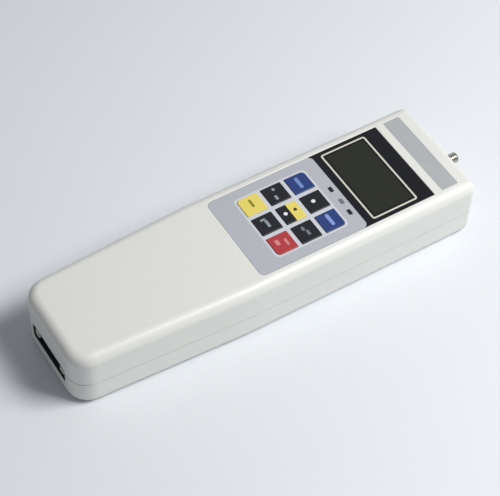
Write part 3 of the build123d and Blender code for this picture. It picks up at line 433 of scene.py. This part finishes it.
def sleevedCell(values):  # nickel-plated cell in a shrunk PVC sleeve: glossy green, bare metal at both ends
    material, tree, shader, place = newMaterial("pvcSleeveShrunk", values)
    normal = addNode(tree, "ShaderNodeTexCoord").outputs["Normal"]
    outward = addNode(tree, "ShaderNodeSeparateXYZ", [normal]).outputs["X"]
    ends = chain(tree, "ShaderNodeMath", outward, ("ABSOLUTE",), ("GREATER_THAN", values["endFacing"]))
    along = addNode(tree, "ShaderNodeSeparateXYZ", [place]).outputs["X"]
    for start in values["starts"]:  # the pole is bare as well
        pole = chain(tree, "ShaderNodeMath", along, ("SUBTRACT", start * mm), ("ABSOLUTE",),
                     ("LESS_THAN", values["bare"] * mm))
        ends = addNode(tree, "ShaderNodeMath", [ends, pole], operation="MAXIMUM")
    wrinkles = addNode(tree, "ShaderNodeTexNoise", sized(place, values["wrinkle"]))
    cover(tree, shader, values, [(ends, values["can"])], relief=wrinkles)
    join(tree, ends, shader.inputs["Metallic"])
    return material


zebraLook = {
    "color": "#d9d4cf", "carbon": "#2a2628", "roughness": 0.6, "ior": 1.41,
    "layer": 0.8,        # mm, the real layers are 0.1 and wouldn't show
    "layerShare": 0.5, "relief": 0.01,
}


def layeredRubber(values):  # contact strip of clear and carbon-filled silicone in turn: fine dark stripes
    material, tree, shader, place = newMaterial("siliconeLayered", values)
    across = addNode(tree, "ShaderNodeSeparateXYZ", [place]).outputs["Y"]
    dark = chain(tree, "ShaderNodeMath", across, ("MULTIPLY", perMetre(values["layer"])), ("FRACT",),
                 ("GREATER_THAN", values["layerShare"]))
    cover(tree, shader, values, [(dark, values["carbon"])], relief=dark)
    return material


slotLooks = {
    "zinc_steel": zincSteel, "bright_steel": brightNickel, "brass_insert": rawBrass, "brass_bush": bushSteel,
    "circuit_film": circuitFilm, "connector_plastic": blackNylon, "display_glass": displayGlass,
    "holder_plastic": greyAbs, "contact_rubber": layeredRubber(zebraLook),
    "circuit_board": maskedBoard(circuitBoardLook), "chip_plastic": chipResin, "header_plastic": ivoryNylon,
    "cell_aluminium": milledAluminium, "gauge_film": gaugeFilm, "bracket_steel": blackSteel,
    "battery_can": sleevedCell(batteryLook), "gold_contact": goldFlash,
}
for subpart in frame["record"]["subparts"]:
    if subpart["material_slot"] in slotLooks:
        dress(slotLooks[subpart["material_slot"]], subpart["node"])
print("metals and plastics given")


def newTree(name, sockets):  # an empty Geometry Nodes tree with the named inputs
    tree = bpy.data.node_groups.new(name, "GeometryNodeTree")
    tree.interface.new_socket("blank", in_out="INPUT", socket_type="NodeSocketGeometry")
    for label, kind in sockets.items():
        tree.interface.new_socket(label, in_out="INPUT", socket_type="NodeSocket" + kind)
    tree.interface.new_socket("result", in_out="OUTPUT", socket_type="NodeSocketGeometry")
    return tree, addNode(tree, "NodeGroupInput").outputs


def endTree(tree, geometry, finish):  # every tree ends as real, painted mesh
    real = addNode(tree, "GeometryNodeRealizeInstances", {"Geometry": geometry})
    dressed = addNode(tree, "GeometryNodeSetMaterial", {"Geometry": real, "Material": finish})
    addNode(tree, "NodeGroupOutput", [dressed])
    return tree


threadForm = {"crest": 0.12, "root": 0.85}  # the flank runs between these shares of half a turn


def threadTree(values):  # cuts a helical 60 degree thread round Z, as deep as the blank's "cut" says
    tree, given = newTree("cutThread", {"pitch": "Float", "depth": "Float", "finish": "Material"})
    place = addNode(tree, "GeometryNodeInputPosition")
    axes = addNode(tree, "ShaderNodeSeparateXYZ", [place]).outputs
    turn = chain(tree, "ShaderNodeMath", axes["Y"], ("ARCTAN2", axes["X"]), ("DIVIDE", 2 * math.pi))
    flank = chain(tree, "ShaderNodeMath", axes["Z"], ("DIVIDE", given["pitch"]), ("SUBTRACT", turn),
                  ("FRACT",), ("MULTIPLY", 2.0), ("SUBTRACT", 1.0), ("ABSOLUTE",))
    groove = addNode(tree, "ShaderNodeMapRange", {
        "Value": flank, "From Min": values["crest"], "From Max": values["root"],
    })
    cut = addNode(tree, "GeometryNodeInputNamedAttribute", {"Name": "cut"}, data_type="FLOAT")
    bite = chain(tree, "ShaderNodeMath", groove, ("MULTIPLY", given["depth"]), ("MULTIPLY", cut),
                 ("MULTIPLY", -1.0))
    outward = chain(tree, "ShaderNodeVectorMath", place, ("MULTIPLY", (1.0, 1.0, 0.0)), ("NORMALIZE",))
    inward = addNode(tree, "ShaderNodeVectorMath", {0: outward, "Scale": bite}, operation="SCALE")
    moved = addNode(tree, "GeometryNodeSetPosition", {"Geometry": given["blank"], "Offset": inward})
    bare = addNode(tree, "GeometryNodeRemoveAttribute", {"Geometry": moved, "Name": "cut"})
    return endTree(tree, bare, given["finish"])


def copiesTree():  # one copy of a piece on each point, turned about Z by a random angle up to spin
    sockets = {"piece": "Object", "spin": "Float", "seed": "Int", "finish": "Material"}
    tree, given = newTree("placeCopies", sockets)
    angle = addNode(tree, "FunctionNodeRandomValue", {"Max": given["spin"], "Seed": given["seed"]})
    rotation = addNode(tree, "ShaderNodeCombineXYZ", {"Z": angle})
    shape = addNode(tree, "GeometryNodeObjectInfo", {"Object": given["piece"]}).outputs["Geometry"]
    copies = addNode(tree, "GeometryNodeInstanceOnPoints",
                     {"Points": given["blank"], "Instance": shape, "Rotation": rotation})
    return endTree(tree, copies, given["finish"])


cutThread = threadTree(threadForm)
placeCopies = copiesTree()


def held(name, mesh):  # a mesh on a working object, in the scene only while something is made from it
    keeper = bpy.data.objects.new(name, mesh)
    scene.collection.objects.link(keeper)
    return keeper


def baked(keeper):  # the working object's mesh with its modifiers worked in
    bpy.context.view_layer.update()
    mesh = bpy.data.meshes.new_from_object(keeper.evaluated_get(bpy.context.evaluated_depsgraph_get()))
    keeper.modifiers.clear()
    bpy.data.objects.remove(keeper)
    return mesh


def runTree(tree, mesh, values):
    keeper = held(tree.name, mesh)
    modifier = keeper.modifiers.new(tree.name, "NODES")
    modifier.node_group = tree
    for socket in tree.interface.items_tree:
        if socket.name in values:
            modifier[socket.identifier] = values[socket.name]
    return baked(keeper)


def turnedBlank(rings, segments, hollow):
    # rings of (height, radius, cut) round Z in mm: a radius may be a rule of the angle, and 0 closes an end
    shape = bmesh.new()
    cutLayer = shape.verts.layers.float.new("cut")
    rows = []
    for height, radius, cut in rings:
        row = []
        for step in range(1 if radius == 0 else segments):
            angle = 2 * math.pi * step / segments
            reach = radius(angle) if callable(radius) else radius
            vert = shape.verts.new((reach * math.cos(angle) * mm, reach * math.sin(angle) * mm, height * mm))
            vert[cutLayer] = cut
            row.append(vert)
        rows.append(row)
    for lower, upper in zip(rows, rows[1:] + (rows[:1] if hollow else [])):
        for step in range(segments):
            after = (step + 1) % segments
            corners = []
            for vert in (lower[step % len(lower)], lower[after % len(lower)],
                         upper[after % len(upper)], upper[step % len(upper)]):
                if vert not in corners:
                    corners.append(vert)
            if len(corners) > 2:
                shape.faces.new(corners)
    bmesh.ops.recalc_face_normals(shape, faces=shape.faces)
    mesh = bpy.data.meshes.new("blank")
    shape.to_mesh(mesh)
    shape.free()
    return mesh


def plainRings(*rings):  # (height, radius) pairs that carry no thread
    return [(height, radius, 0.0) for height, radius in rings]


def threadRings(low, high, radius, pitch, perTurn=8):  # rings close enough to carry the thread's flanks
    count = max(2, round(abs(high - low) / pitch * perTurn))
    return [(low + (high - low) * step / count, radius, 1.0) for step in range(count + 1)]


def threadedPiece(rings, values, finish, hollow=False, outwards=False):  # outwards cuts a bore's thread
    blank = turnedBlank(rings, values["segments"], hollow)
    depth = -values["depth"] if outwards else values["depth"]
    return runTree(cutThread, blank, {"pitch": values["pitch"] * mm, "depth": depth * mm, "finish": finish})


def finishPiece(name, mesh, node, body, sharp=32.0):  # a finished mesh that stands for a CAD node
    mesh.polygons.foreach_set("use_smooth", [True] * len(mesh.polygons))
    mesh.set_sharp_from_angle(angle=math.radians(sharp))
    mesh.name = name
    piece = bpy.data.objects.new(name, mesh)
    scene.collection.objects.link(piece)
    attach(piece, body)
    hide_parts(node)


def copiesOf(mesh, spots, finish, spin=0.0, seed=0):
    points = bpy.data.meshes.new("spots")
    points.from_pydata([Vector(spot) * mm for spot in spots], [], [])
    keeper = held("original", mesh)
    copied = runTree(placeCopies, points, {"piece": keeper, "spin": spin, "seed": seed, "finish": finish})
    bpy.data.objects.remove(keeper)
    return copied


def alongX(mesh, x, height):  # from standing on Z to lying along X
    mesh.transform(Matrix.Translation((x * mm, 0, height * mm)) @ Matrix.Rotation(math.pi / 2, 4, "Y"))
    return mesh


def mirrored(*spots):  # each spot, and the same on the other side of the middle plane
    return [(x, side * y, *rest) for x, y, *rest in spots for side in (1, -1)]


shaftRod = {
    "pitch": 1.0, "depth": 0.6,      # M6
    "threadStep": 1.0,               # from the shank down to the thread
    "shankReach": 2.2,               # smooth part beyond the housing
    "relief": 0.9, "reliefRadius": 2.35,
    "chamfer": 0.6, "nutEdge": 0.25, "shoulderEdge": 0.3,
    "runIn": 0.1, "runOut": 0.05,
    "segments": 64,
}


def buildShaftRod(values):
    low, high = (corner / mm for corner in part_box("measuring_shaft"))
    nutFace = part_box("shaft_lock_nut")[1].x / mm
    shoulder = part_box("front_housing")[1].x / mm + values["shankReach"]
    tail, tip = low.x, high.x
    shank = (high.z - low.z) / 2
    thread = shank - values["threadStep"]
    relief, narrow, chamfer = values["relief"], values["reliefRadius"], values["chamfer"]
    nutEdge, shoulderEdge, runIn = values["nutEdge"], values["shoulderEdge"], values["runIn"]
    rings = plainRings((tail, 0), (tail, thread - chamfer), (tail + chamfer, thread))
    rings += threadRings(tail + chamfer + runIn, nutFace - relief, thread, values["pitch"])
    rings += plainRings((nutFace - relief + runIn, narrow), (nutFace, narrow), (nutFace, shank - nutEdge),
                        (nutFace + nutEdge, shank), (shoulder - shoulderEdge, shank),
                        (shoulder, shank - shoulderEdge), (shoulder, narrow),
                        (shoulder + relief - shoulderEdge, narrow))
    rings += threadRings(shoulder + relief, tip - chamfer - values["runOut"], thread, values["pitch"])
    rings += plainRings((tip - chamfer, thread), (tip, thread - chamfer), (tip, 0))
    rod = alongX(threadedPiece(rings, values, shaftSteel), 0.0, (high.z + low.z) / 2)
    finishPiece("shaftRod", rod, "measuring_shaft", "shaft")


buildShaftRod(shaftRod)
print("shaft turned and threaded")

panScrews = {  # way is 1 where the shank points up
    "housing_screws": {"spots": mirrored((104.0, 25.0), (-12.7, 25.0), (-101.5, 20.0)),
                       "seat": 7.0, "length": 16.0, "way": 1},
    "board_screws": {"spots": mirrored((93.0, 23.0), (-4.0, 23.0)), "seat": 26.0, "length": 5.0, "way": 1},
    "bracket_screws": {"spots": mirrored((44.15, 11.0), (35.65, 11.0)),
                       "seat": 12.5, "length": 8.0, "way": -1},
    "tray_screws": {"spots": [(-13.0, 0.0), (-82.8, 0.0)], "seat": 7.5, "length": 5.0, "way": -1},
}
screwShape = {
    "pitch": 0.5, "depth": 0.3,      # M3
    "headRadius": 2.75, "headHeight": 2.0, "headEdge": 0.12, "radius": 1.5,
    "dome": ((0.0, 0.52), (0.12, 0.76), (0.35, 0.9), (0.7, 0.975), (1.15, 1.0)),  # drop, share of radius
    "threadStart": 0.3, "threadEnd": 0.7,
    "tip": ((0.5, 0.2), (0.0, 0.6)),  # back from the end and off the radius
    "crossLength": 3.0, "crossWidth": 0.8, "crossDepth": 1.3,
    "crossMouth": 1.1, "crossPoint": (0.4, 0.55), "crossProud": 0.4,
    "segments": 32, "seed": 11,
}


def crossBit(values):  # tapered cross that leaves the recess in a head
    half, wide = values["crossLength"] / 2, values["crossWidth"] / 2
    mouth, (pointX, pointY) = values["crossMouth"], values["crossPoint"]
    outline = []
    for c, s in ((1, 0), (0, 1), (-1, 0), (0, -1)):
        for x, y in ((wide, -wide), (half, -wide), (half, wide)):
            outline.append((x * c - y * s, x * s + y * c))
    top = -values["headHeight"] - values["crossProud"]
    bottom = -values["headHeight"] + values["crossDepth"]
    verts = [(x * mouth * mm, y * mouth * mm, top * mm) for x, y in outline]
    verts += [(x * pointX * mm, y * pointY * mm, bottom * mm) for x, y in outline]
    count = len(outline)
    faces = [tuple(range(count)), tuple(range(2 * count - 1, count - 1, -1))]
    faces += [(i, i + count, (i + 1) % count + count, (i + 1) % count) for i in range(count)]
    mesh = bpy.data.meshes.new("crossBit")
    mesh.from_pydata(verts, [], faces)
    shape = bmesh.new()
    shape.from_mesh(mesh)
    bmesh.ops.recalc_face_normals(shape, faces=shape.faces)
    shape.to_mesh(mesh)
    shape.free()
    return mesh


def buildPanScrews(node, values):
    group = panScrews[node]
    length, top = group["length"], -values["headHeight"]
    head, edge, radius = values["headRadius"], values["headEdge"], values["radius"]
    rings = plainRings((top, 0), *[(top + drop, head * share) for drop, share in values["dome"]],
                       (-edge, head), (0.0, head - edge), (0.0, radius))
    rings += threadRings(values["threadStart"], length - values["threadEnd"], radius, values["pitch"])
    rings += plainRings(*[(length - back, radius - fall) for back, fall in values["tip"]], (length, 0))
    keeper = held("screw", threadedPiece(rings, values, zincSteel))
    cutter = held("crossBit", crossBit(values))
    recess = keeper.modifiers.new("recess", "BOOLEAN")
    recess.operation, recess.object, recess.solver = "DIFFERENCE", cutter, "EXACT"
    screw = baked(keeper)
    bpy.data.objects.remove(cutter)
    if group["way"] < 0:
        screw.transform(Matrix.Rotation(math.pi, 4, "X"))
    spots = [(x, y, group["seat"]) for x, y in group["spots"]]
    screws = copiesOf(screw, spots, zincSteel, 2 * math.pi, values["seed"])
    finishPiece(node.replace("_s", "S"), screws, node, "housing")


for screwNode in panScrews:
    buildPanScrews(screwNode, screwShape)
print("screws driven")

standInserts = {
    "spots": mirrored((5.0, 20.0, 0.0), (65.0, 20.0, 0.0)),
    "pitch": 0.7, "depth": 0.35,     # M4
    "radius": 3.0, "bore": 1.65, "length": 7.0, "lead": 0.35,
    "end": ((0.2, 0.3), (0.0, 0.5)),  # back from the end and off the radius
    "teeth": 30, "toothDepth": 0.22, "lean": 0.28,
    "knurlStart": 0.4, "knurlStep": 0.27, "knurlRings": 11,
    "groove": (3.1, 3.9), "grooveDrop": 0.1, "grooveEdge": 0.1,
    "segments": 120, "sharp": 40.0,
}


def buildStandInserts(values):
    radius, bore, length, lead = values["radius"], values["bore"], values["length"], values["lead"]

    def knurl(height):  # slanting teeth that cross at mid length
        lean = values["lean"] * height * (1 if height < length / 2 else -1)
        return lambda angle: radius - values["toothDepth"] * abs(math.sin(values["teeth"] / 2 * angle + lean))

    def knurledBand(start):
        heights = [start + values["knurlStep"] * step for step in range(values["knurlRings"])]
        return plainRings(*[(height, knurl(height)) for height in heights])

    smooth = radius - values["toothDepth"] - values["grooveDrop"]
    low, high = values["groove"]
    rings = plainRings((0.0, radius - lead), (lead / 2, radius - lead / 4))
    rings += knurledBand(values["knurlStart"])
    rings += plainRings((low + values["grooveEdge"], smooth), (high - values["grooveEdge"], smooth))
    rings += knurledBand(high)
    mouth = bore + lead
    rings += plainRings(*[(length - back, radius - fall) for back, fall in values["end"]], (length, mouth))
    rings += threadRings(length - lead, lead, bore, values["pitch"])
    rings += plainRings((0.0, mouth))
    insert = threadedPiece(rings, values, rawBrass, hollow=True, outwards=True)
    inserts = copiesOf(insert, values["spots"], rawBrass)
    finishPiece("standInserts", inserts, "mount_inserts", "housing", values["sharp"])


buildStandInserts(standInserts)
print("stand inserts pressed in")


def hexagon(apothem, limit):  # six flats, held to a round limit where the corners are chamfered
    def reach(angle):
        fromFlat = (angle + math.pi / 6) % (math.pi / 3) - math.pi / 6
        return min(apothem / math.cos(fromFlat), limit)
    return reach


portPosts = {
    "spots": mirrored((-109.5, 12.5, 14.5)),
    "flats": 4.75, "height": 5.0, "bore": 1.3, "boreDepth": 4.2, "stud": 1.5, "studLength": 4.8,
    "studTip": 0.4, "lead": 0.3, "threadStart": 0.4, "threadEnd": 0.6, "drillEnd": 0.5,
    "crown": ((0.22, 0.0), (0.15, 0.12), (0.07, 0.26), (0.0, 0.42)),  # below the top and off the corners
    "pitch": 0.635, "depth": 0.22, "segments": 72,
}


def buildPortPosts(values):
    apothem, bore, stud = values["flats"] / 2, values["bore"], values["stud"]
    corner = apothem / math.cos(math.pi / 6)
    foot, top = -values["studLength"], values["height"]
    bottom, lead, pitch = top - values["boreDepth"], values["lead"], values["pitch"]
    rings = plainRings((foot, 0), (foot, stud - values["studTip"]))
    rings += threadRings(foot + lead, -lead, stud, pitch)
    rings += plainRings((0.0, stud), (0.0, hexagon(apothem, corner)))
    rings += plainRings(*[(top - drop, hexagon(apothem, corner - fall)) for drop, fall in values["crown"]])
    rings += plainRings((top, bore + lead), (top - lead, bore))
    inner = threadRings(top - values["threadStart"], bottom + values["threadEnd"], bore, pitch)
    rings += [(height, radius, -cut) for height, radius, cut in inner]  # the bore's thread is cut outwards
    rings += plainRings((bottom + values["drillEnd"], bore), (bottom, bore - lead), (bottom, 0))
    post = threadedPiece(rings, values, brightNickel)
    post.transform(Matrix.Rotation(-math.pi / 2, 4, "Y"))
    posts = copiesOf(post, values["spots"], brightNickel)
    finishPiece("portPosts", posts, "port_posts", "housing")


buildPortPosts(portPosts)

hexShape = {  # M6, 10 mm across its flats
    "flats": 10.0, "chamfer": 0.35, "fall": 0.65, "pitch": 1.0, "depth": 0.6, "segments": 72,
}
lockNut = {**hexShape, "bore": 3.05, "mouth": 0.5, "lead": 0.4}
anchorBolt = {
    **hexShape, "head": 4.0, "radius": 3.0,
    "neck": 1.5, "threadStart": 1.6, "threadEnd": 0.7, "tip": 0.6,
}


def chamferedHex(low, high, values):  # rings of a hexagon whose corners are turned off at both ends
    apothem = values["flats"] / 2
    corner = apothem / math.cos(math.pi / 6)
    steps = [(values["chamfer"] * (1 - part), values["fall"] * part) for part in (0.0, 0.33, 0.67, 1.0)]
    lower = [(low + drop, hexagon(apothem, corner - fall)) for drop, fall in reversed(steps)]
    upper = [(high - drop, hexagon(apothem, corner - fall)) for drop, fall in steps]
    return plainRings(*lower, *upper)


def buildLockNut(values):
    low, high = (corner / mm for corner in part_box("shaft_lock_nut"))
    thick, bore, mouth = high.x - low.x, values["bore"], values["bore"] + values["mouth"]
    rings = plainRings((0.0, mouth)) + chamferedHex(0.0, thick, values) + plainRings((thick, mouth))
    rings += threadRings(thick - values["lead"], values["lead"], bore, values["pitch"])
    nut = threadedPiece(rings, values, zincSteel, hollow=True, outwards=True)
    nut = alongX(nut, low.x, (low.z + high.z) / 2)
    finishPiece("shaftLockNut", nut, "shaft_lock_nut", "shaft")


def buildAnchorBolt(values):
    low, high = (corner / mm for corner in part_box("anchor_bolt"))
    head, radius, length, tip = values["head"], values["radius"], high.x - low.x, values["tip"]
    rings = plainRings((0.0, 0)) + chamferedHex(0.0, head, values)
    rings += plainRings((head, radius), (head + values["neck"], radius))
    rings += threadRings(head + values["threadStart"], length - values["threadEnd"], radius, values["pitch"])
    rings += plainRings((length - tip, radius), (length, radius - tip), (length, 0))
    bolt = alongX(threadedPiece(rings, values, zincSteel), low.x, (low.z + high.z) / 2)
    finishPiece("anchorBolt", bolt, "anchor_bolt", "housing")


buildLockNut(lockNut)
buildAnchorBolt(anchorBolt)
print("socket posts, lock nut and anchor bolt made")

floorLook = {
    "color": "#dfe3e8", "shade": "#dadee4", "roughness": 0.7, "cloud": 300.0,
    "size": 6.0, "drop": 0.0002,     # metres, just clear of the back
}


def paleFloor(values):  # matt paper backdrop: pale, with a hardly visible change of tone
    half = values["size"] / 2
    mesh = bpy.data.meshes.new("floor")
    corners = [(x * half, y * half, -values["drop"]) for x, y in ((-1, -1), (1, -1), (1, 1), (-1, 1))]
    mesh.from_pydata(corners, [], [(0, 1, 2, 3)])
    floor = bpy.data.objects.new("floor", mesh)
    scene.collection.objects.link(floor)
    material, tree, shader, place = newMaterial("paperBackdrop", values)
    cloud = addNode(tree, "ShaderNodeTexNoise", sized(place, values["cloud"]))
    cover(tree, shader, values, [(cloud, values["shade"])])
    mesh.materials.append(material)


paleFloor(floorLook)

lights = {  # metres and watts
    "key": {"place": (0.52, -0.45, 0.92), "aim": (0.0, 0.0, 0.02),
            "size": 0.5, "power": 13.9, "color": "#fffefb"},
    "fill": {"place": (0.2, 1.6, 1.0), "aim": (0.0, 0.0, 0.02),
             "size": 1.4, "power": 2.2, "color": "#eef3ff"},
}
room = {"color": "#f4f6fa", "strength": 0.22}
view = {
    "place": (-0.2928, -0.4306, 0.6784), "aim": (0.001, 0.003, 0.018),
    "roll": 2.9, "lens": 120.0, "near": 0.05,
}


def facing(values):  # the turn that points -Z from the place at the aim
    return (Vector(values["aim"]) - Vector(values["place"])).to_track_quat("-Z", "Y")


for name, values in lights.items():
    lamp = bpy.data.lights.new(name, "AREA")
    lamp.energy = values["power"]
    lamp.size = values["size"]
    lamp.color = hexColor(values["color"])[:3]
    lampObject = bpy.data.objects.new(name, lamp)
    lampObject.location = values["place"]
    lampObject.rotation_euler = facing(values).to_euler()
    scene.collection.objects.link(lampObject)

world = bpy.data.worlds.new("softRoom")
world.use_nodes = True
background = world.node_tree.nodes["Background"]
background.inputs["Color"].default_value = hexColor(room["color"])
background.inputs["Strength"].default_value = room["strength"]
scene.world = world
scene.view_settings.view_transform = "Standard"

cameraData = bpy.data.cameras.new("view")
cameraData.lens = view["lens"]
cameraData.clip_start = view["near"]
camera = bpy.data.objects.new("view", cameraData)
camera.matrix_world = (Matrix.Translation(view["place"]) @ facing(view).to_matrix().to_4x4()
                       @ Matrix.Rotation(math.radians(view["roll"]), 4, "Z"))
scene.collection.objects.link(camera)
scene.camera = camera
print("stage set")
